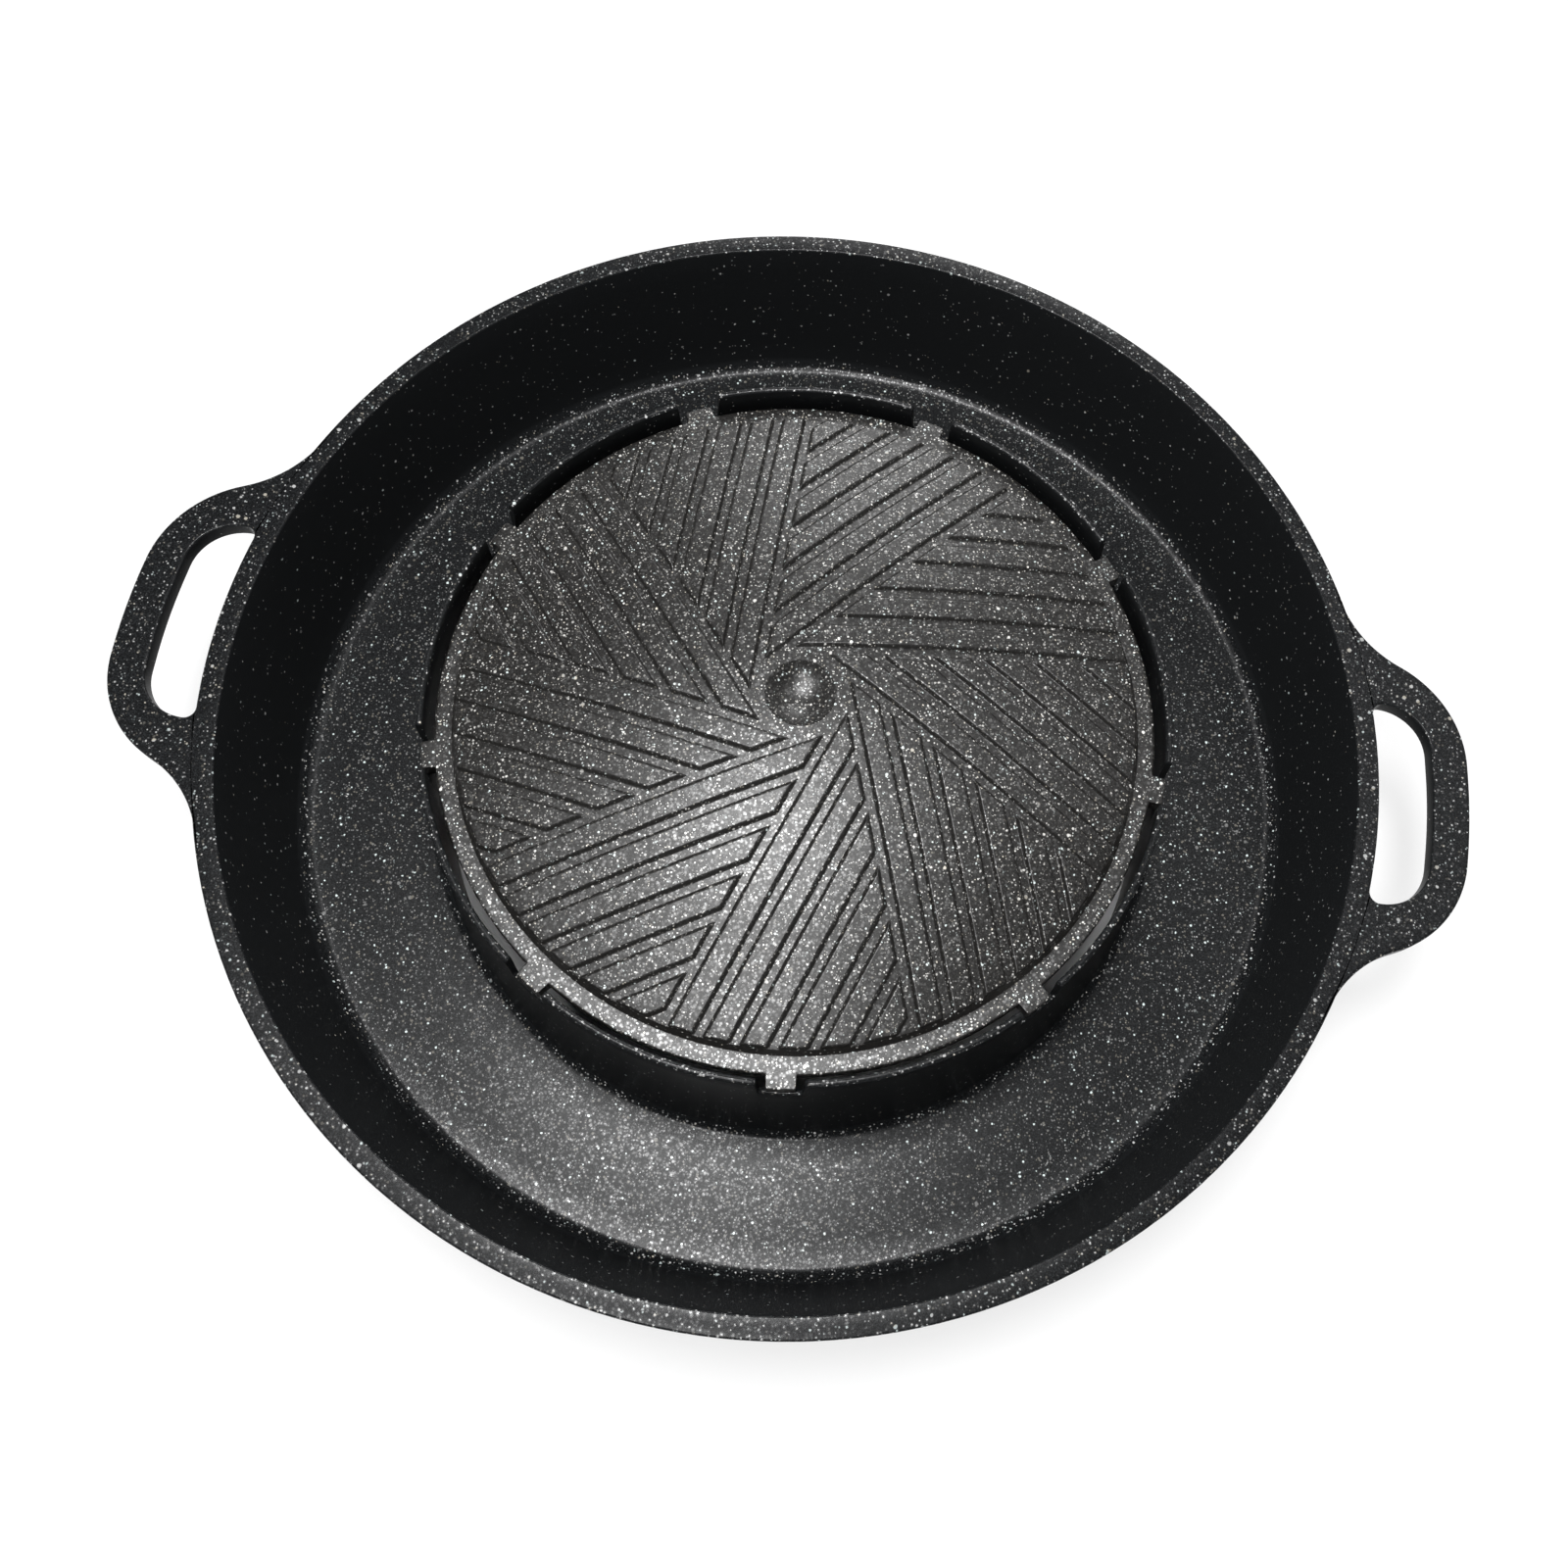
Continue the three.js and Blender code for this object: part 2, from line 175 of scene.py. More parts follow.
class PanSizes(bpy.types.PropertyGroup):
    """Sizes of the pan casting."""

    rim_radius: length("Rim radius", PAN_HIGH.y, "Outside radius of the rim")
    rim_height: length("Rim height", MOUNTS["rim_top"]["pos_m"][2], "Height of the rim above the table")
    rim_width: length("Rim width", 0.0056, "Width of the flat rim")
    rim_round: length("Rim rounding", 0.0006, "Rounding of the rim's and the handles' edges")
    bead: length("Bead height", 0.005, "Height of the thick band under the rim, and of the handles")
    wall: length("Wall", 0.004, "Thickness of the outside wall")
    wall_lean: length("Wall lean", 0.0074, "How far the inside wall comes in from rim to floor")
    floor: length("Floor", 0.0045, "Thickness of the moat floor")
    floor_fillet: length("Floor fillet", 0.0045, "Rounding between wall and floor inside")
    base_fillet: length("Base fillet", 0.008, "Rounding between wall and base outside")
    collar_radius: length("Collar radius", 0.102, "Outside radius of the collar's lip")
    collar_height: length("Collar height", PAN_HIGH.z, "Height of the collar's lip above the table")
    collar_wall: length("Collar wall", 0.002, "Thickness of the collar's lip")
    collar_flare: length("Collar flare", 0.0058, "How much wider the collar is at the floor, outside")
    collar_fillet: length("Collar fillet", 0.003, "Rounding between collar and floor")
    chimney_flare: length("Chimney flare", 0.0044, "How much wider the collar is at the base, inside")
    notches: number("Notches", 9, 3, "Notches in the collar, and tabs in them")
    notch_turn: angle("First notch", -3.6, "Direction of the first notch")
    notch_width: length("Notch width", 0.012, "Width of a notch at half its depth")
    notch_depth: length("Notch depth", 0.0111, "Depth of a notch below the lip")
    notch_draft: length("Notch draft", 0.0006, "How far each side of a notch opens out towards the lip")


class HandleSizes(bpy.types.PropertyGroup):
    """Sizes of a loop handle."""

    reach: length("Reach", PAN_HIGH.x - PAN_HIGH.y, "From the rim to the handle's outer edge")
    end_half: length("End half", 0.0337, "Half the length of the outer edge before rounding")
    splay: angle("Splay", 23.9, "Angle of the handle's sides to its middle line")
    corner: length("Corner", 0.032, "Rounding of the outer corners")
    blend: length("Blend", 0.033, "Rounding between side and rim")
    arc: angle("Grip arc", 4, "Half the angle over which the grip follows the rim's curve")
    slot_half: length("Slot half", 0.0292, "Half the length of the finger slot")
    slot_width: length("Slot width", 0.015, "Width of the finger slot")
    slot_ledge: length("Slot ledge", 0.0003, "Between the rim's outside and the slot")
    slot_inner: length("Slot inner corner", 0.0029, "Rounding of the slot's corners at the rim")
    slot_outer: length("Slot outer corner", 0.0135, "Rounding of the slot's corners at the grip")


class PlateSizes(bpy.types.PropertyGroup):
    """Sizes of the grill plate."""

    bottom: length("Bottom", PLATE_LOW.z, "Height of the tabs' underside above the table")
    tab_width: length("Tab width", 0.0072, "Width of a tab")
    tab_setback: length("Tab setback", 0.0001, "From the collar's outside to a tab's end")
    vent_gap: length("Vent gap", 0.0018, "Gap between the flange and the collar")
    flange_width: length("Flange width", 0.0048, "Width of the flat flange")
    flange_edge: length("Flange edge", 0.005, "Thickness of the flange at its edge")
    flange_fall: length("Flange fall", 0.0002, "How far the flange falls over its width")
    step: length("Step", 0.0036, "Height of the step from flange to disc")
    step_draft: length("Step draft", 0.0015, "How far the step leans in")
    dome_rise: length("Dome rise", 0.0113, "Height of the dome above its edge")
    shell: length("Shell", 0.004, "Thickness of the plate")
    dimple_radius: length("Dimple radius", 0.0095, "Radius of the fat dimple")
    dimple_depth: length("Dimple depth", 0.0035, "Depth of the fat dimple")
    edge: length("Edge rounding", 0.0006, "Rounding of the plate's edges")
    sectors: number("Sectors", 9, 5, "Groups of parallel bars")
    sector_turn: angle("First sector", 9.8, "Direction of the first sector's bars")
    bar_width: length("Bar width", 0.006, "Width of a bar")
    channel_width: length("Channel width", 0.003, "Width of the channel between bars")
    channel_depth: length("Channel depth", 0.0012, "Height of the bars above the channels")
    first_bar: length("First bar", 0.0137, "From the middle line to a sector's first bar")
    bar_side: length("Bar side", 0.0011, "Width of a bar's sloping side")
    bar_round: length("Bar rounding", 0.0004, "Rounding of a bar's outer end")


class CoatingLook:
    """Look of the speckled coating."""

    ground: colour("Ground", (0.0065, 0.007, 0.0075), "Colour of the coating between its specks")
    speck: colour("Specks", (0.8, 0.8, 0.79), "Colour of most specks")
    warm: colour("Warm specks", (0.7, 0.65, 0.55), "Colour of a few specks")
    cool: colour("Cool specks", (0.7, 0.79, 0.78), "Colour of a few other specks")
    spacing: length("Speck spacing", 0.0009, "Distance between the smallest specks")
    density: share("Density", 0.85, "Share of the places that hold a speck")
    rim_strength: share("Rim specks", 0.5, "Strength of the specks on rim, handles and outside wall")
    # fewer specks on steep inside faces are painted shade
    painted_shade_density: share("Wall density", 0.1, "Density on steep inside faces, as a share of the rest")
    roughness: share("Roughness", 0.22, "Roughness of the specks' gloss")
    glint: refraction("Glint", 1.55, "Refractive index of the specks' gloss")
    sheen: share("Reflection", 0.06, "Strength of the reflection between the specks")


class PanLook(CoatingLook, bpy.types.PropertyGroup):
    """Look of the pan's coating."""


class PlateLook(CoatingLook, bpy.types.PropertyGroup):
    """Look of the plate's coating, which is paler and has more specks."""

    ground: colour("Ground", (0.009, 0.0085, 0.008), "Colour of the coating between its specks")
    speck: colour("Specks", (0.8, 0.785, 0.75), "Colour of most specks")
    spacing: length("Speck spacing", 0.0008, "Distance between the smallest specks")
    density: share("Density", 0.95, "Share of the places that hold a speck")
    roughness: share("Roughness", 0.35, "Roughness of the specks' gloss")
    glint: refraction("Glint", 2.1, "Refractive index of the specks' gloss")
    sheen: share("Reflection", 0.2, "Strength of the reflection between the specks")


class StudioLook(bpy.types.PropertyGroup):
    """Floor, lamps and camera."""

    floor: colour("Floor", (0.88, 0.88, 0.88), "Colour of the floor and backdrop")
    lamp_power: power("Overhead lamp", 18, "Power of the overhead lamp")
    left_power: power("Left lamp", 4, "Power of the lamp to the left")
    right_power: power("Right lamp", 2.5, "Power of the lamp to the right")
    near_power: power("Near lamp", 9, "Power of the lamp in front")
    window_power: power("Far lamp", 18, "Power of the lamp beyond")
    sky: colour("Sky", (0.05, 0.05, 0.05), "Light from all round")
    eye: FloatVectorProperty(
        name="Camera place",
        description="Where the camera stands",
        default=(0.01933, -0.1444, 0.3976),
        subtype="TRANSLATION",
        unit="LENGTH",
    )
    eye_height: angle("Camera height", 70.21, "Angle of the camera's view below level")
    eye_turn: angle("Camera turn", -1.1, "Direction of view, from +Y")
    eye_roll: angle("Camera roll", 9.887, "How far the camera is turned about its view")
    lens: FloatProperty(name="Lens", description="Focal length in millimetres", default=31.5, unit="CAMERA")
    shift: FloatVectorProperty(
        name="Shift",
        description="Shift of the picture, as the photograph is framed",
        size=2,
        default=(-0.0538, 0.0043),
    )


class GrillPan(bpy.types.PropertyGroup):
    """All settings of the grill pan."""

    pan: PointerProperty(type=PanSizes)
    handle: PointerProperty(type=HandleSizes)
    plate: PointerProperty(type=PlateSizes)
    pan_look: PointerProperty(type=PanLook)
    plate_look: PointerProperty(type=PlateLook)
    studio: PointerProperty(type=StudioLook)


# Lines and grids


def unit(vectors):
    """Vectors divided by their own length."""
    return vectors / np.linalg.norm(vectors, axis=-1, keepdims=True)


def rounded(corners, closed=True):
    """An outline with rounded corners. A corner (x, y, radius) becomes an arc that touches both its sides:
    the arc's centre lies radius / sin(half the corner's angle) along the bisector. An open outline keeps
    its ends."""
    corners = np.asarray(corners, float)
    points, radii = corners[:, :2], corners[:, 2].copy()
    if not closed:
        radii[[0, -1]] = 0
    back = unit(np.roll(points, 1, 0) - points)
    ahead = unit(np.roll(points, -1, 0) - points)
    half = np.arccos(np.clip((back * ahead).sum(1), -1, 1)) / 2
    side = np.sign(ahead[:, 0] * back[:, 1] - ahead[:, 1] * back[:, 0])
    arcs = []
    for i, radius in enumerate(radii):
        if radius == 0:
            arcs.append(points[i : i + 1])
            continue
        centre = points[i] + unit(back[i] + ahead[i]) * radius / np.sin(half[i])
        start = points[i] + back[i] * radius / np.tan(half[i]) - centre
        turn = np.pi - 2 * half[i]
        chords = int(np.ceil(max(turn / ROUND_STEP, turn * radius / ROUND_CHORD)))
        swing = side[i] * np.linspace(0, turn, chords + 1)
        x = start[0] * np.cos(swing) - start[1] * np.sin(swing)
        y = start[0] * np.sin(swing) + start[1] * np.cos(swing)
        arcs.append(centre + np.stack([x, y], 1))
    return np.concatenate(arcs)


def spaced(points, gap, closed=False):
    """The same line with its long stretches divided, so that no two neighbours lie further apart than
    the gap."""
    start = points if closed else points[:-1]
    stretch = np.roll(points, -1, 0)[: len(start)] - start
    count = np.maximum(1, np.ceil(np.linalg.norm(stretch, axis=1) / gap - 1e-6).astype(int))
    index = np.repeat(np.arange(len(start)), count)
    along = (np.arange(count.sum()) - (np.cumsum(count) - count)[index]) / count[index]
    made = start[index] + along[:, None] * stretch[index]
    return made if closed else np.concatenate([made, points[-1:]])


def toothed(count, first, radius, width, step, slope, corners, gap):
    """A path round a circle that steps out or down at equal teeth: one pitch is a rounded step, a flat
    tooth and a step back, and it is repeated round the circle. Gives each point's angle and its offset."""
    pitch, half = FULL_TURN * radius / count, width / 2
    outline = rounded(
        [
            (-pitch / 2, 0, 0),
            (-half - slope, 0, corners[0]),
            (-half, step, corners[1]),
            (half, step, corners[1]),
            (half + slope, 0, corners[0]),
            (pitch / 2, 0, 0),
        ],
        closed=False,
    )
    outline = spaced(outline, gap)[:-1]
    middles = first + FULL_TURN * np.arange(count)[:, None] / count
    return (middles + outline[:, 0] / radius).ravel(), np.tile(outline[:, 1], count)


def turned(radius, height, angles):
    """A surface round Z: a profile point at (radius, height) goes to (radius cos a, radius sin a, height)."""
    radius, height, angles = np.broadcast_arrays(radius, height, angles)
    return np.stack([radius * np.cos(angles), radius * np.sin(angles), height], -1)


def outward(points, faces):
    """Points and faces as a closed shell whose faces point out: they are turned round if its volume is
    negative. Six times the volume is the sum of a . (b x c) over each face's fan of triangles."""
    volume = 0.0
    for group in faces:
        corner = points[group]
        fan = np.cross(corner[:, 1:-1], corner[:, 2:])
        volume += (corner[:, :1] * fan).sum()
    return points, faces if volume > 0 else [group[:, ::-1] for group in faces]


def quads(rows, columns, close_rows):
    """Faces of a grid whose columns close on themselves, and its rows too if asked."""
    row = np.arange(rows if close_rows else rows - 1)[:, None]
    column = np.arange(columns)
    beside, below = (column + 1) % columns, (row + 1) % rows
    cell = [
        row * columns + column,
        row * columns + beside,
        below * columns + beside,
        below * columns + column,
    ]
    return np.stack(cell, -1).reshape(-1, 4)


def ring_shell(points):
    """A grid closed both ways, as a ring is."""
    rows, columns = points.shape[:2]
    return outward(points.reshape(-1, 3), [quads(rows, columns, True)])


def ball_shell(points, poles):
    """A grid closed round Z, with a pole before its first row and one after its last."""
    rows, columns = points.shape[:2]
    first, last = rows * columns, rows * columns + 1
    column = np.arange(columns)
    beside = (column + 1) % columns
    end = (rows - 1) * columns
    caps = [
        np.stack([np.full(columns, first), beside, column], 1),
        np.stack([np.full(columns, last), end + column, end + beside], 1),
    ]
    return outward(np.concatenate([points.reshape(-1, 3), poles]), [quads(rows, columns, False), *caps])


def add_piece(name, shells, material, body, node):
    """Joins closed shells into one smooth mesh, dresses it, and sets it on its body in place of its solid."""
    start = np.cumsum([0] + [len(points) for points, _ in shells])
    vertices = np.concatenate([points for points, _ in shells])
    faces = []
    for first, (_, groups) in zip(start, shells):
        for group in groups:
            faces.extend((group + first).tolist())
    mesh = bpy.data.meshes.new(name)
    mesh.from_pydata(vertices, [], faces)
    if mesh.validate():
        raise RuntimeError(f"{name} has faces that don't close")
    mesh.polygons.foreach_set("use_smooth", np.ones(len(mesh.polygons), bool))
    mesh.set_sharp_from_angle(angle=SHARP_ANGLE)
    mesh.materials.append(material)
    piece = bpy.data.objects.new(name, mesh)
    bpy.context.scene.collection.objects.link(piece)
    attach(piece, body)
    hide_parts(node)


# Pan casting


def pan_bowl(pan):
    """The pan without handles: one closed profile turned round Z. Its fixed part runs from the chimney's
    foot under the base, up the wall, over the rim and down to the collar's foot. From there the collar's
    sides and round lip follow each column's own lip height, which drops at the notches. The collar's outside
    widens from lip to floor by flare * below ^ power, with below from 0 to 1."""
    angles, drop = toothed(
        pan.notches,
        pan.notch_turn,
        pan.collar_radius,
        pan.notch_width - pan.notch_draft,
        -pan.notch_depth,
        slope=pan.notch_draft,
        corners=NOTCH_CORNERS,
        gap=0.0035,
    )
    lip = pan.collar_height + drop
    inside = pan.collar_radius - pan.collar_wall

    def collar_outside(height):
        below = (pan.collar_height - height) / (pan.collar_height - pan.floor)
        return pan.collar_radius + pan.collar_flare * below**FLARE_POWER

    def collar_inside(height):
        return inside + pan.chimney_flare * (pan.collar_height - height) / pan.collar_height

    slope = pan.wall_lean / (pan.rim_height - pan.floor)
    wall_foot = pan.rim_radius - pan.rim_width - pan.wall_lean

    def wall_outside(height):
        return wall_foot + (height - pan.floor) * slope + pan.wall * np.hypot(1, slope)

    bead = pan.rim_height - pan.bead
    foot = pan.floor + 2 * pan.collar_fillet
    chimney_foot = 0.003
    fixed = rounded(
        [
            (collar_inside(chimney_foot), chimney_foot, 0),
            (collar_inside(0), 0, PAN_EDGE),
            (wall_outside(0), 0, pan.base_fillet),
            (wall_outside(bead), bead, BEAD_FOOT),
            (pan.rim_radius, bead, PAN_EDGE),
            (pan.rim_radius, pan.rim_height, pan.rim_round),
            (pan.rim_radius - pan.rim_width, pan.rim_height, pan.rim_round),
            (wall_foot, pan.floor, pan.floor_fillet),
            (pan.collar_radius + pan.collar_flare, pan.floor, pan.collar_fillet),
            (collar_outside(foot), foot, 0),
        ],
        closed=False,
    )
    fixed = spaced(fixed, gap=0.008)
    rise = np.linspace(0, 1, COLLAR_ROWS)[1:-1, None]
    round_lip = LIP_ROUND * (collar_outside(lip) - collar_inside(lip))
    shoulder = lip - round_lip
    up = foot + rise * (shoulder - foot)
    down = shoulder + rise * (chimney_foot - shoulder)
    swing = np.linspace(0, np.pi, LIP_ROWS)[:, None]
    middle = (collar_outside(shoulder) + collar_inside(shoulder)) / 2
    half = (collar_outside(shoulder) - collar_inside(shoulder)) / 2
    columns = np.ones(len(angles))
    radius = [
        fixed[:, :1] * columns,
        collar_outside(up),
        middle + half * np.cos(swing),
        collar_inside(down),
    ]
    height = [fixed[:, 1:] * columns, up, shoulder + round_lip * np.sin(swing), down]
    return ring_shell(turned(np.concatenate(radius), np.concatenate(height), angles))


def handle_loop(pan, handle, turn):
    """One loop handle as a ring round its finger slot. The slot's outline and the handle's outline are
    paired by their direction from the slot's middle, and a rounded flat section is carried round between the
    two: the edges are offsets of each outline, r (1 - cos a) in from the side and r (1 - sin a) down from
    the top. Top and underside go from one edge to the other in even steps of distance and direction from the
    pan's middle, so they follow the rim. The side that lies in the rim stays square and ends where the rim's
    flat top ends."""

    def on_rim(radius, bearing):
        return np.stack([radius * np.cos(bearing), radius * np.sin(bearing)], -1)

    def tangent_x(radius, y):
        return (radius - y * np.sin(handle.arc)) / np.cos(handle.arc)

    end_radius = pan.rim_radius + handle.reach
    end = tangent_x(end_radius, handle.end_half)
    cos, sin = np.cos(handle.splay), np.sin(handle.splay)
    along = handle.end_half * sin - end * cos
    reach = -along - np.sqrt(along**2 - (end**2 + handle.end_half**2 - pan.rim_radius**2))
    meet = np.array([end - reach * cos, handle.end_half + reach * sin])
    root_angle = np.arctan2(meet[1], meet[0]) + BLEND_ROOM * handle.blend / pan.rim_radius
    root_point = on_rim(pan.rim_radius, root_angle)
    free = rounded(
        [
            (root_point[0], -root_point[1], 0),
            (meet[0], -meet[1], handle.blend),
            (end, -handle.end_half, handle.corner),
            (tangent_x(end_radius, 0), 0, end_radius),
            (end, handle.end_half, handle.corner),
            (meet[0], meet[1], handle.blend),
            (root_point[0], root_point[1], 0),
        ],
        closed=False,
    )
    free = spaced(free, gap=0.0025)
    tangent = unit(np.gradient(free, axis=0))
    free_in = np.stack([-tangent[:, 1], tangent[:, 0]], 1)
    root_radius = pan.rim_radius - pan.rim_round - ROOT_TUCK
    root = on_rim(root_radius, np.linspace(root_angle, -root_angle, ROOT_POINTS))
    outline = np.concatenate([free, root])
    inward = np.concatenate([free_in, np.zeros_like(root)])

    slot_radius = pan.rim_radius + handle.slot_ledge
    grip = slot_radius + handle.slot_width
    slot_angle = np.arcsin(handle.slot_half / slot_radius)
    rim_side = on_rim(slot_radius, np.linspace(slot_angle, -slot_angle, SLOT_POINTS))
    slot_end = tangent_x(grip, handle.slot_half)
    corners = np.zeros((3 + SLOT_POINTS, 3))
    corners[0] = slot_end, -handle.slot_half, handle.slot_outer
    corners[1] = tangent_x(grip, 0), 0, grip
    corners[2] = slot_end, handle.slot_half, handle.slot_outer
    corners[3:, :2] = rim_side
    corners[[3, -1], 2] = handle.slot_inner
    slot = spaced(rounded(corners), gap=0.0003, closed=True)
    tangent = unit(np.roll(slot, -2, 0) - np.roll(slot, 2, 0))
    slot_out = np.stack([tangent[:, 1], -tangent[:, 0]], 1)
    middle = np.array([slot_radius + handle.slot_width / 2, 0])

    def direction(points):
        return np.arctan2(points[:, 1] - middle[1], points[:, 0] - middle[0])

    wanted, known = direction(outline), direction(slot)
    hole, away = (
        np.stack([np.interp(wanted, known, line[:, axis], period=FULL_TURN) for axis in (0, 1)], 1)
        for line in (slot, slot_out)
    )
    top, low = pan.rim_height, pan.rim_height - pan.bead + UNDERSIDE_LIFT
    inset = pan.rim_round * (1 - np.cos(QUARTER))
    fall = pan.rim_round * (1 - np.sin(QUARTER))
    offset = np.concatenate([inset[::-1], inset])[:, None, None]
    level = np.concatenate([low + fall[::-1], top - fall])
    slot_side = hole + offset * away
    free_side = (outline + offset * inward)[::-1]
    step = np.linspace(0, 1, GRIP_ROWS)[1:-1, None]
    near, far = slot_side[-1], free_side[0]
    radius = np.hypot(*near.T) + step * (np.hypot(*far.T) - np.hypot(*near.T))
    bearing = np.arctan2(near[:, 1], near[:, 0])
    bearing = bearing + step * (np.arctan2(far[:, 1], far[:, 0]) - bearing)
    flat = on_rim(radius, bearing)
    plan = np.concatenate([slot_side, flat, free_side, flat[::-1]])
    height = np.concatenate([level, np.full(len(flat), top), level[::-1], np.full(len(flat), low)])
    points = np.concatenate([plan, np.broadcast_to(height[:, None, None], plan.shape[:2] + (1,))], -1)
    points[..., :2] *= np.cos(turn)
    return ring_shell(points)


# Grill plate


def plate_radii(pan, plate):
    """Radii of the flange's edge, the step's foot and the disc's edge, inwards from the collar."""
    flange = pan.collar_radius - pan.collar_wall - plate.vent_gap
    step = flange - plate.flange_width
    return flange, step, step - plate.step_draft


def dome(pan, plate, radius, drop):
    """Height of the dome: a ball of radius (disc^2 + rise^2) / (2 rise), lowered by the drop."""
    disc = plate_radii(pan, plate)[2]
    ball = (disc**2 + plate.dome_rise**2) / (2 * plate.dome_rise)
    edge = plate.bottom + plate.flange_edge + plate.flange_fall + plate.step
    return edge + plate.dome_rise - drop - (ball - np.sqrt(ball**2 - radius**2))


def bowl(edge_radius, edge_height, depth, radius):
    """Height of a round hollow: a ball of radius (edge^2 + depth^2) / (2 depth) that stands on its lowest
    point."""
    ball = (edge_radius**2 + depth**2) / (2 * depth)
    return edge_height - depth + ball - np.sqrt(ball**2 - radius**2)


def plate_body(pan, plate):
    """The plate at channel level, turned round Z: dimple, low dome, rounded edge, step, flange, skirt and
    hollow underside. The flange's edge follows each column's own radius, which reaches out at the tabs."""
    flange, step, disc = plate_radii(pan, plate)
    tab_end = pan.collar_radius - plate.tab_setback
    angles, reach = toothed(
        pan.notches,
        pan.notch_turn,
        flange,
        plate.tab_width,
        tab_end - flange,
        slope=TAB_SLOPE,
        corners=TAB_CORNERS,
        gap=0.004,
    )
    edge = flange + reach
    columns = np.ones(len(angles))
    low, under = plate.channel_depth, plate.channel_depth + plate.shell
    foot = plate.bottom + plate.flange_edge + plate.flange_fall

    def flange_top(radius):
        return foot - plate.flange_fall * (radius - step) / plate.flange_width

    dimple = np.linspace(0, plate.dimple_radius, DIMPLE_ROWS)[1:]
    dimple = np.insert(dimple, -1, plate.dimple_radius - CLOSE_ROW)
    dimple_edge = dome(pan, plate, plate.dimple_radius, low)
    top_dome = np.linspace(plate.dimple_radius, disc, DOME_ROWS)[:-1]
    top_dome[0] += CLOSE_ROW
    low_edge = disc + plate.step_draft * low / plate.step
    dome_edge, inner_edge = disc - 0.001, step + 0.002
    shelf = rounded(
        [
            (dome_edge, dome(pan, plate, dome_edge, low), 0),
            (low_edge, dome(pan, plate, low_edge, low), plate.edge / 2),
            (step, foot, STEP_FOOT),
            (inner_edge, flange_top(inner_edge), 0),
        ],
        closed=False,
    )
    across = np.linspace(0, 1, FLANGE_ROWS)[1:-1, None]
    outer_edge = edge - plate.edge
    crossing = inner_edge + across * (outer_edge - inner_edge)
    bend = QUARTER[:, None]
    lip = outer_edge + plate.edge * np.sin(bend)
    lip_height = flange_top(edge) - plate.edge * (1 - np.cos(bend))
    base = outer_edge + plate.edge * np.cos(bend)
    base_height = (plate.bottom + plate.edge * (1 - np.sin(bend))) * columns
    skirt = disc - plate.shell
    bulge = plate.dimple_radius + BULGE_ROOM
    bulge_edge = dome(pan, plate, bulge, under)
    bulge_depth = bulge_edge - (dimple_edge - plate.dimple_depth - plate.shell)
    foot_edge, hollow_edge = skirt + 0.003, skirt - 0.004
    hollow = rounded(
        [
            (foot_edge, plate.bottom, 0),
            (skirt, plate.bottom, SKIRT_EDGE),
            (skirt, dome(pan, plate, skirt, under), HOLLOW_CORNER),
            (hollow_edge, dome(pan, plate, hollow_edge, under), 0),
        ],
        closed=False,
    )
    under_dome = np.linspace(hollow_edge, bulge, HOLLOW_ROWS)[1:]
    under_bulge = np.linspace(bulge, 0, BULGE_ROWS)[1:-1]
    fixed_top = np.concatenate(
        [
            np.stack([dimple, bowl(plate.dimple_radius, dimple_edge, plate.dimple_depth, dimple)], 1),
            np.stack([top_dome, dome(pan, plate, top_dome, low)], 1),
            shelf,
        ]
    )
    fixed_under = np.concatenate(
        [
            hollow,
            np.stack([under_dome, dome(pan, plate, under_dome, under)], 1),
            np.stack([under_bulge, bowl(bulge, bulge_edge, bulge_depth, under_bulge)], 1),
        ]
    )
    radius = [fixed_top[:, :1] * columns, crossing, lip, base, fixed_under[:, :1] * columns]
    height = [
        fixed_top[:, 1:] * columns,
        flange_top(crossing),
        lip_height,
        base_height,
        fixed_under[:, 1:] * columns,
    ]
    poles = [(0, 0, dimple_edge - plate.dimple_depth), (0, 0, bulge_edge - bulge_depth)]
    return ball_shell(turned(np.concatenate(radius), np.concatenate(height), angles), poles)


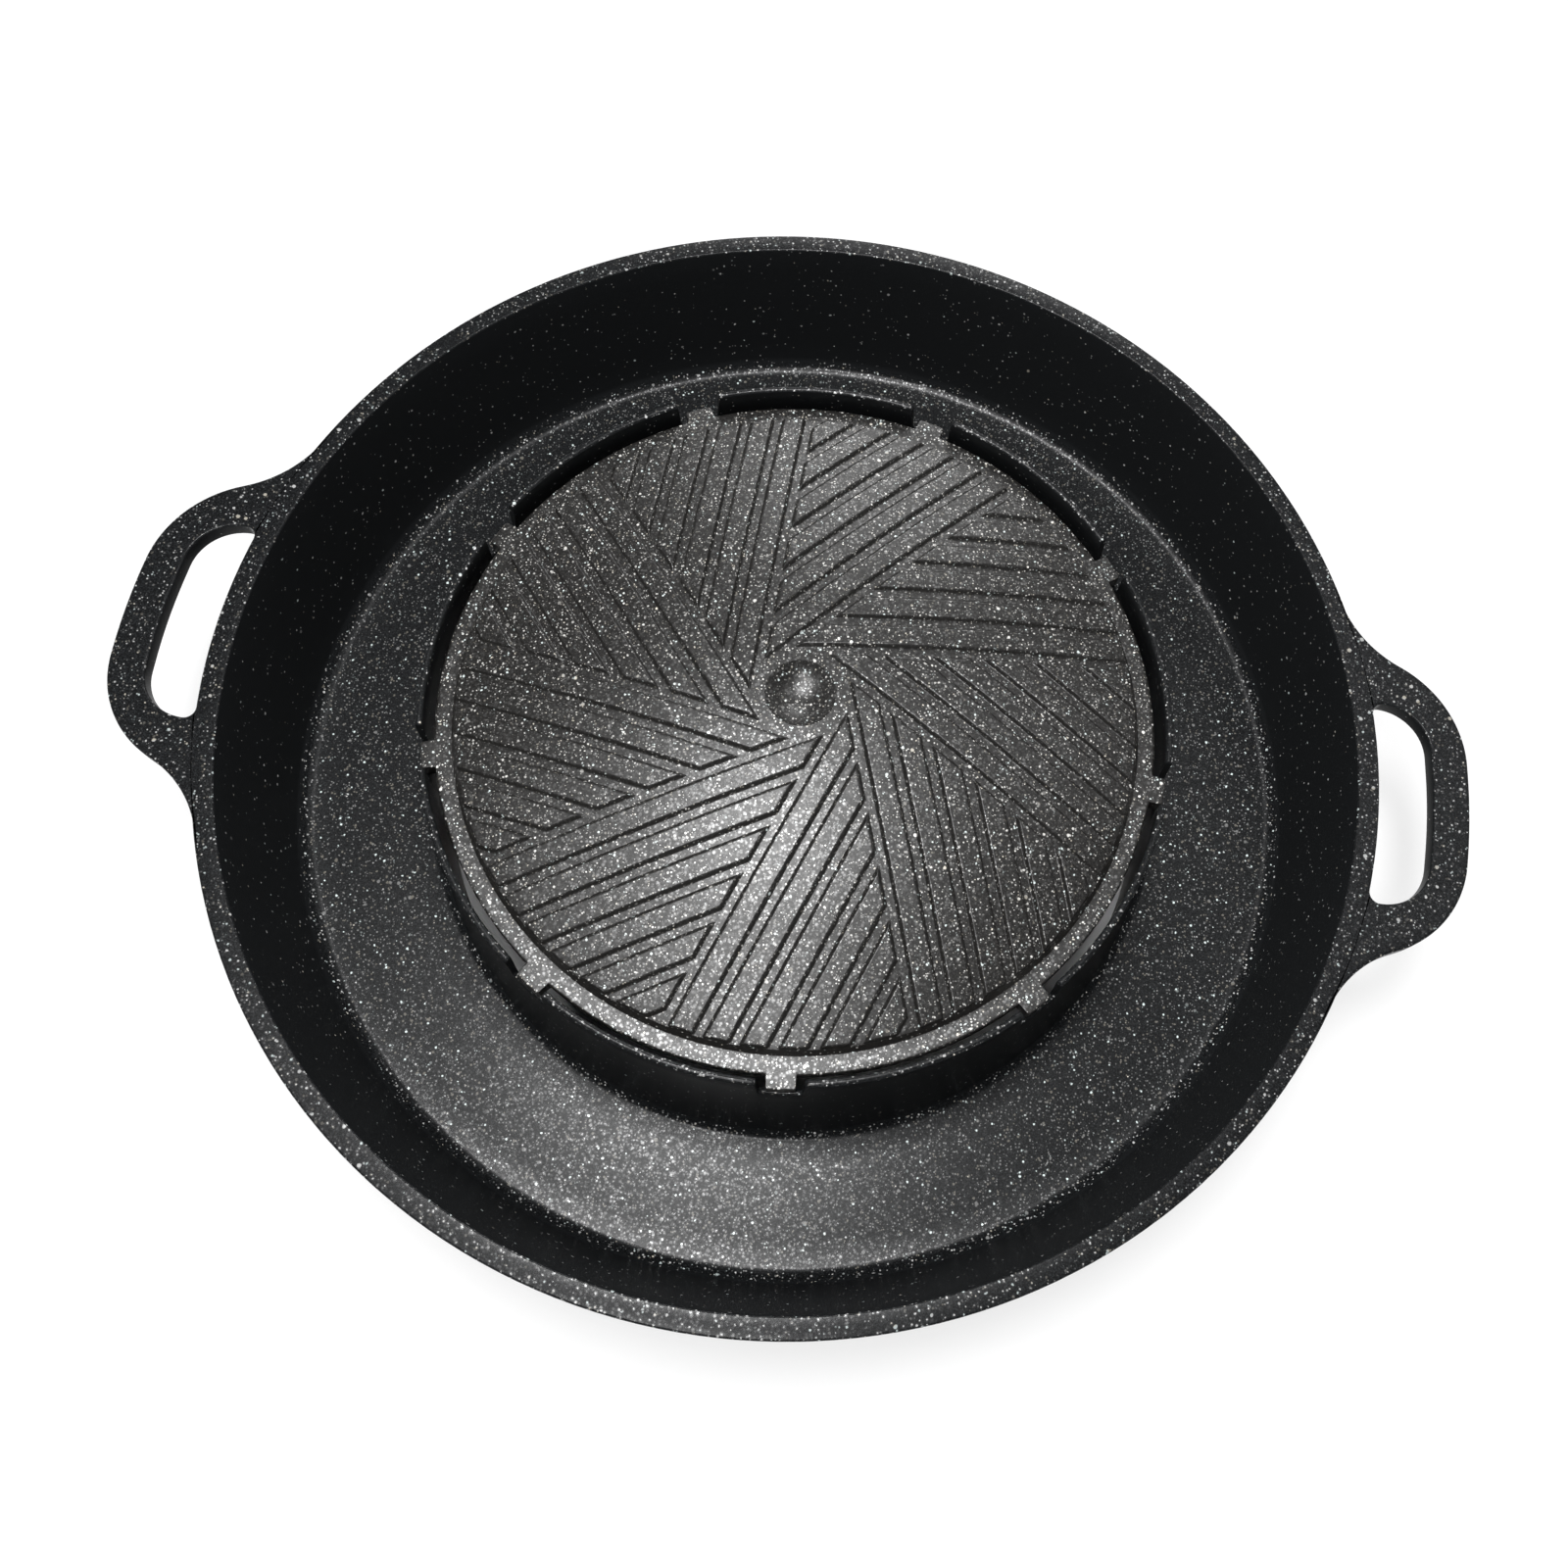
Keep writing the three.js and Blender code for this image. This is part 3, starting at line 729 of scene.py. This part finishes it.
def pinwheel(pan, plate):
    """All raised bars. In a sector, bar j lies at t = first + j (bar + channel) from the middle line and
    runs in s from the next sector's channel line, s = (t cos a - c) / sin a, to the disc's circle,
    s = sqrt(R^2 - t^2). Its sides and its inner end fall from its top to the channel along half a cosine
    wave, its outer end is rounded, and the larger drop counts. The drop is taken from the dome, so the bars
    follow it."""
    disc = plate_radii(pan, plate)[2]
    sector = FULL_TURN / plate.sectors
    channel_line = plate.first_bar - plate.channel_width
    pitch = plate.bar_width + plate.channel_width

    def inner_end(t):
        return (t * np.cos(sector) - channel_line) / np.sin(sector)

    starts = plate.first_bar + pitch * np.arange(int(disc / pitch))
    starts = starts[np.hypot(starts, inner_end(starts)) < disc]
    half = plate.bar_width / 2
    root, sunk = plate.channel_depth + BAR_ROOT, plate.channel_depth + BAR_END_ROOT
    wave = np.linspace(0, np.pi, BAR_SIDE_ROWS)
    inset = plate.bar_side * (wave / np.pi - 0.5)
    fall = plate.channel_depth * (1 + np.cos(wave)) / 2
    end = [(-plate.step_draft * sunk / plate.step, sunk, 0), (0, 0, plate.bar_round), (half, 0, 0)]
    end_inset, end_fall = rounded(end, closed=False)[-2::-1].T
    left, right = inset - half, (half - inset)[::-1]
    crown = CROWN_ROWS * right[0]
    across = np.concatenate([left[:1], left, crown, right, right[-1:]])
    across_drop = np.concatenate([[root], fall, np.zeros(len(crown)), fall[::-1], [root]])
    t = starts[:, None, None] + half + across
    first = inner_end(t) + inset[:, None] / np.sin(sector)
    rim = disc - BAR_SETBACK
    outer = np.sqrt(rim**2 - t**2)
    last = outer - end_inset[:, None] * rim / outer
    along = np.linspace(0, 1, BAR_ROWS)[:-1, None]
    along[0] = 0.01  # close to the inner end, which keeps its shading narrow
    middle = first[:, -1:] + along * (last[:, :1] - first[:, -1:])
    s = np.concatenate([first, middle, last], 1)
    along_drop = np.concatenate([fall, np.zeros(len(along)), end_fall])[:, None]
    drop = np.broadcast_to(np.maximum(along_drop, across_drop), s.shape)
    t = np.broadcast_to(t, s.shape)
    height = dome(pan, plate, np.hypot(s, t), drop)
    turn = plate.sector_turn + sector * np.arange(plate.sectors)[:, None, None, None]
    x, y = s * np.cos(turn) - t * np.sin(turn), s * np.sin(turn) + t * np.cos(turn)
    points = np.stack([x, y, np.broadcast_to(height, x.shape)], -1)
    rings, corners = points.shape[2:4]
    bars = np.arange(plate.sectors * len(starts))[:, None, None] * rings * corners
    sides = (quads(rings, corners, False) + bars).reshape(-1, 4)
    ring = np.arange(corners)[None, None]
    near_ends = (ring[..., ::-1] + bars).reshape(-1, corners)
    far_ends = (ring + (rings - 1) * corners + bars).reshape(-1, corners)
    return outward(points.reshape(-1, 3), [sides, near_ends, far_ends])


# Coating


class Value:
    """A shader value: Python arithmetic on it adds Math nodes."""

    def __init__(self, graph, socket):
        self.graph, self.socket = graph, socket

    def __add__(self, other):
        return self.graph.math("ADD", self, other)

    def __sub__(self, other):
        return self.graph.math("SUBTRACT", self, other)

    def __rsub__(self, other):
        return self.graph.math("SUBTRACT", other, self)

    def __mul__(self, other):
        return self.graph.math("MULTIPLY", self, other)

    def __lt__(self, other):
        return self.graph.math("LESS_THAN", self, other)

    def __or__(self, other):
        return self.graph.math("MAXIMUM", self, other)

    __radd__ = __add__
    __rmul__ = __mul__


class Graph:
    """A node tree that is written as expressions."""

    def __init__(self, tree):
        self.tree = tree
        tree.nodes.clear()

    def node(self, kind, settings=None, inputs=None):
        """Adds a node, sets its settings, then fills its sockets with values or links."""
        made = self.tree.nodes.new(kind)
        for name, value in (settings or {}).items():
            setattr(made, name, value)
        for key, value in (inputs or {}).items():
            value = value.socket if isinstance(value, Value) else value
            if isinstance(value, bpy.types.NodeSocket):
                self.tree.links.new(value, made.inputs[key])
            else:
                made.inputs[key].default_value = value
        return made

    def value(self, kind, output, settings=None, inputs=None):
        """One output of a new node, as a value."""
        return Value(self, self.node(kind, settings, inputs).outputs[output])

    def math(self, operation, first, second):
        """A Math node on two values."""
        return self.value("ShaderNodeMath", 0, {"operation": operation}, {0: first, 1: second})

    def fade(self, value, start, end):
        """1 below the start, 0 above the end, and a smooth fall between."""
        limits = {"Value": value, "From Min": start, "From Max": end, "To Min": 1.0, "To Max": 0.0}
        return self.value("ShaderNodeMapRange", "Result", {"interpolation_type": "SMOOTHSTEP"}, limits)

    def blend(self, mask, first, second):
        """The first colour where the mask is 0, and the second where it is 1."""
        settings = {"data_type": "RGBA"}
        return self.node("ShaderNodeMix", settings, {0: mask, 6: first, 7: second}).outputs[2]


def opaque(rgb):
    """A colour with full alpha."""
    return (*rgb, 1.0)


def specks(graph, place, cell, density, radius, soft):
    """Round specks: in a cloud of random points about one cell apart, a share of the points carries a ball,
    and the surface shows where it cuts it. Gives the mask, fainter for some, and a random number of each
    point."""
    cloud = graph.node("ShaderNodeTexVoronoi", {"feature": "F1"}, {"Vector": place, "Scale": 1 / cell})
    dice = graph.node("ShaderNodeSeparateColor", None, {0: cloud.outputs["Color"]})
    pick, size, tint = (Value(graph, dice.outputs[i]) for i in range(3))
    far = Value(graph, cloud.outputs["Distance"]) * cell
    reach = radius * (SMALLEST + (1 - SMALLEST) * size)
    strength = FAINTEST + (1 - FAINTEST) * tint * tint
    return graph.fade(far, reach * (1 - soft), reach) * (pick < density) * strength, tint


def coating_zones(graph, place):
    """Two masks by place and face direction: steep faces inside the pan, which carry the painted shade and
    painted light of the walls, and the rim, the handles and the outside wall together."""
    flat = graph.node("ShaderNodeVectorMath", {"operation": "MULTIPLY"}, {0: place, 1: (1, 1, 0)}).outputs[0]
    away = graph.value("ShaderNodeVectorMath", "Value", {"operation": "LENGTH"}, {0: flat})
    normal = graph.node("ShaderNodeNewGeometry").outputs["Normal"]
    facing = graph.value("ShaderNodeVectorMath", "Value", {"operation": "DOT_PRODUCT"}, {0: normal, 1: flat})
    outside = (1 - graph.fade(facing, *FACING_OUT)) * (1 - graph.fade(away, *MOAT_EDGE))
    upward = graph.value("ShaderNodeSeparateXYZ", 2, None, {0: normal})
    steep = graph.fade(upward, *STEEP_FACE) * (1 - outside)
    return steep, (1 - graph.fade(away, *RIM_EDGE)) | outside


def speckled_coating(name, look):
    """Near-black coating with pale specks of three sizes, a few of them tinted, and a fine orange-peel grain.
    Its gloss comes in small grains. Steep faces inside the pan have fewer specks and less gloss as painted
    shade, and a lighter ground as painted light; the rim, the handles and the outside wall have fainter
    specks."""
    material = bpy.data.materials.new(name)
    material.use_nodes = True
    graph = Graph(material.node_tree)
    place = graph.node("ShaderNodeTexCoord").outputs["Object"]
    ruffle = graph.node("ShaderNodeTexNoise", None, {"Vector": place, "Scale": RUFFLE_SCALE, "Detail": 1.0})
    ruffled = graph.node(
        "ShaderNodeVectorMath",
        {"operation": "MULTIPLY_ADD"},
        {0: ruffle.outputs["Color"], 1: (RUFFLE, RUFFLE, RUFFLE), 2: place},
    ).outputs[0]
    steep, on_rim = coating_zones(graph, place)
    # fewer specks and less gloss on steep inside faces are painted shade
    painted_shade_thinning = 1 - (1 - look.painted_shade_density) * steep
    density = look.density * painted_shade_thinning
    (fine, _), (middle, tint), (coarse, _) = (
        specks(graph, ruffled, cell * look.spacing, density, radius * look.spacing, soft)
        for cell, radius, soft in SPECK_LAYERS
    )
    mask = (fine | middle | coarse) * (1 - (1 - look.rim_strength) * on_rim)
    dust = graph.value("ShaderNodeTexNoise", 0, None, {"Vector": place, "Scale": DUST_SCALE, "Detail": 1.0})
    # wall is the steep faces' ground painted lighter: painted light on the inside walls
    light, dark, wall = (
        opaque(np.array(look.ground) * shade) for shade in (LIGHT_DUST, DARK_DUST, STEEP_PAINTED_LIGHT)
    )
    ground = graph.blend(steep, graph.blend(graph.fade(dust, *DUST_FADE), light, dark), wall)
    flecks = graph.blend(graph.fade(tint, *WARM_SPECKS), opaque(look.speck), opaque(look.warm))
    flecks = graph.blend(graph.fade(tint, *COOL_SPECKS), opaque(look.cool), flecks)
    paint = graph.blend(mask, ground, flecks)
    cell, radius, soft = GRAIN_LAYER
    grains, _ = specks(graph, ruffled, cell, 1.0, radius, soft)
    # on steep inside faces the gloss is cut as painted shade
    gloss = (LEAST_GLOSS + (1 - LEAST_GLOSS) * (grains | mask)) * painted_shade_thinning
    bump = graph.node(
        "ShaderNodeBump",
        None,
        {"Strength": BUMP_STRENGTH, "Distance": BUMP_HEIGHT, "Height": dust + SPECK_BUMP * mask},
    )
    shader = graph.node(
        "ShaderNodeBsdfPrincipled",
        None,
        {
            "Base Color": paint,
            "Roughness": GROUND_ROUGHNESS,
            "Metallic": 0.0,
            "Specular IOR Level": look.sheen,
            "Coat Weight": gloss,
            "Coat Roughness": look.roughness,
            "Coat IOR": look.glint,
            "Normal": bump.outputs[0],
        },
    )
    graph.node("ShaderNodeOutputMaterial", None, {0: shader.outputs[0]})
    return material


# Studio


def backdrop_surface():
    """Floor and backdrop: a level disc that bends up into a round wall, turned round Z."""
    hub_radius = 0.02
    profile = [
        (hub_radius, FLOOR_LEVEL, 0),
        (FLOOR_RADIUS, FLOOR_LEVEL, WALL_BEND),
        (FLOOR_RADIUS, WALL_HEIGHT, 0),
    ]
    line = spaced(rounded(profile, closed=False), gap=0.4)
    angles = np.linspace(0, FULL_TURN, BACKDROP_COLUMNS, endpoint=False)
    grid = turned(line[:, :1], line[:, 1:], angles)
    rows, columns = grid.shape[:2]
    hub = np.array([[0, 0, FLOOR_LEVEL]])
    column = np.arange(columns)
    fan = np.stack([np.full(columns, rows * columns), column, (column + 1) % columns], 1)
    faces = quads(rows, columns, False)[:, ::-1].tolist() + fan.tolist()
    return np.concatenate([grid.reshape(-1, 3), hub]), faces


def backdrop_paint(look):
    """Plain pale paint. The camera and reflections see it mixed with white, which leaves a faint shadow.
    Under the middle of the pan it is paint alone, so no white shines up through the chimney."""
    material = bpy.data.materials.new("backdrop_paint")
    material.use_nodes = True
    graph = Graph(material.node_tree)
    path = graph.node("ShaderNodeLightPath")
    seen = Value(graph, path.outputs["Is Camera Ray"]) | Value(graph, path.outputs["Is Glossy Ray"])
    seen = seen | Value(graph, path.outputs["Is Transmission Ray"])
    place = graph.node("ShaderNodeTexCoord").outputs["Object"]
    away = graph.value("ShaderNodeVectorMath", "Value", {"operation": "LENGTH"}, {0: place})
    covered = graph.fade(away, *UNDER_PAN)
    paint = graph.node("ShaderNodeBsdfDiffuse", None, {"Color": opaque(look.floor)})
    white = graph.node("ShaderNodeEmission", None, {"Color": (1, 1, 1, 1), "Strength": 1.0})
    whiter = seen * (FLOOR_WHITE * (1 - covered))
    mixed = graph.node(
        "ShaderNodeMixShader", None, {0: whiter, 1: paint.outputs[0], 2: white.outputs[0]}
    )
    graph.node("ShaderNodeOutputMaterial", None, {0: mixed.outputs[0]})
    return material


def add_lamp(name, watts, radius, place):
    """A round lamp at a place, turned to the pan."""
    data = bpy.data.lights.new(name, "AREA")
    data.shape = "DISK"
    data.size = 2 * radius
    data.energy = watts
    lamp = bpy.data.objects.new(name, data)
    lamp.location = place
    lamp.rotation_mode = "QUATERNION"
    lamp.rotation_quaternion = (Vector(LAMP_AIM) - Vector(place)).to_track_quat("-Z", "Y")
    bpy.context.scene.collection.objects.link(lamp)


def add_camera(studio):
    """The camera: tilted up from straight down, rolled about its view, then turned about Z."""
    data = bpy.data.cameras.new("camera")
    data.sensor_width = 36
    data.lens = studio.lens
    data.shift_x, data.shift_y = studio.shift
    data.clip_start = 0.01
    camera = bpy.data.objects.new("camera", data)
    tilt = Matrix.Rotation(np.pi / 2 - studio.eye_height, 4, "X")
    turn = Matrix.Rotation(studio.eye_turn, 4, "Z")
    roll = Matrix.Rotation(studio.eye_roll, 4, "Z")
    camera.matrix_world = Matrix.Translation(studio.eye) @ turn @ tilt @ roll
    bpy.context.scene.collection.objects.link(camera)
    bpy.context.scene.camera = camera


# Operators and panel


class HOTPOT_OT_pan_casting(bpy.types.Operator):
    """Build the pan with its collar and loop handles"""

    bl_idname = "hotpot.pan_casting"
    bl_label = "Pan Casting"

    def execute(self, context):
        settings = context.scene.grill_pan
        handles = [handle_loop(settings.pan, settings.handle, turn) for turn in (0, np.pi)]
        shells = [pan_bowl(settings.pan), *handles]
        coating = speckled_coating("pan_coating", settings.pan_look)
        add_piece("pan_casting", shells, coating, "pan", "pan_body")
        return {"FINISHED"}


class HOTPOT_OT_grill_plate(bpy.types.Operator):
    """Build the grill plate with its tabs and pinwheel of bars"""

    bl_idname = "hotpot.grill_plate"
    bl_label = "Grill Plate"

    def execute(self, context):
        settings = context.scene.grill_pan
        shells = [plate_body(settings.pan, settings.plate), pinwheel(settings.pan, settings.plate)]
        coating = speckled_coating("plate_coating", settings.plate_look)
        add_piece("plate_casting", shells, coating, "plate", "grill_plate")
        return {"FINISHED"}


class HOTPOT_OT_stage(bpy.types.Operator):
    """Build the floor, lamps and camera"""

    bl_idname = "hotpot.stage"
    bl_label = "Studio"

    def execute(self, context):
        scene, studio = context.scene, context.scene.grill_pan.studio
        points, faces = backdrop_surface()
        mesh = bpy.data.meshes.new("backdrop")
        mesh.from_pydata(points, [], faces)
        mesh.polygons.foreach_set("use_smooth", np.ones(len(mesh.polygons), bool))
        mesh.materials.append(backdrop_paint(studio))
        backdrop = bpy.data.objects.new("backdrop", mesh)
        scene.collection.objects.link(backdrop)
        add_lamp("overhead_lamp", studio.lamp_power, radius=0.22, place=(-0.12, 0.12, 1.5))
        add_lamp("left_lamp", studio.left_power, radius=0.35, place=(-0.65, -0.2, 1.5))
        add_lamp("right_lamp", studio.right_power, radius=0.4, place=(0.75, 0.65, 1.5))
        add_lamp("near_lamp", studio.near_power, radius=0.2, place=(-0.1, -0.5, 1.45))
        add_lamp("window_lamp", studio.window_power, radius=0.6, place=(0.0, 1.9, 1.4))
        scene.world = bpy.data.worlds.new("studio_sky")
        scene.world.use_nodes = True
        graph = Graph(scene.world.node_tree)
        sky = graph.node("ShaderNodeBackground", None, {"Color": opaque(studio.sky), "Strength": 1.0})
        graph.node("ShaderNodeOutputWorld", None, {0: sky.outputs[0]})
        add_camera(studio)
        scene.view_settings.view_transform = "Standard"
        return {"FINISHED"}


class HOTPOT_PT_builder(bpy.types.Panel):
    """Sidebar panel with the grill pan's settings and its builders"""

    bl_idname = "HOTPOT_PT_builder"
    bl_label = "Hot Pot Grill Pan"
    bl_space_type = "VIEW_3D"
    bl_region_type = "UI"
    bl_category = "Grill Pan"

    def draw(self, context):
        settings = context.scene.grill_pan
        for title, group, builder in (
            ("Pan", settings.pan, HOTPOT_OT_pan_casting),
            ("Handles", settings.handle, None),
            ("Pan coating", settings.pan_look, None),
            ("Plate", settings.plate, HOTPOT_OT_grill_plate),
            ("Plate coating", settings.plate_look, None),
            ("Studio", settings.studio, HOTPOT_OT_stage),
        ):
            box = self.layout.box()
            box.label(text=title)
            # The first two are every group's own type and name.
            for name in group.bl_rna.properties.keys()[2:]:
                box.prop(group, name)
            if builder:
                box.operator(builder.bl_idname)


CLASSES = (
    PanSizes,
    HandleSizes,
    PlateSizes,
    PanLook,
    PlateLook,
    StudioLook,
    GrillPan,
    HOTPOT_OT_pan_casting,
    HOTPOT_OT_grill_plate,
    HOTPOT_OT_stage,
    HOTPOT_PT_builder,
)


def register():
    for kind in CLASSES:
        bpy.utils.register_class(kind)
    bpy.types.Scene.grill_pan = PointerProperty(type=GrillPan)


def unregister():
    del bpy.types.Scene.grill_pan
    for kind in reversed(CLASSES):
        bpy.utils.unregister_class(kind)


def main():
    """Builds everything."""
    register()
    bpy.ops.hotpot.pan_casting()
    bpy.ops.hotpot.grill_plate()
    bpy.ops.hotpot.stage()


if __name__ == "__main__":
    main()
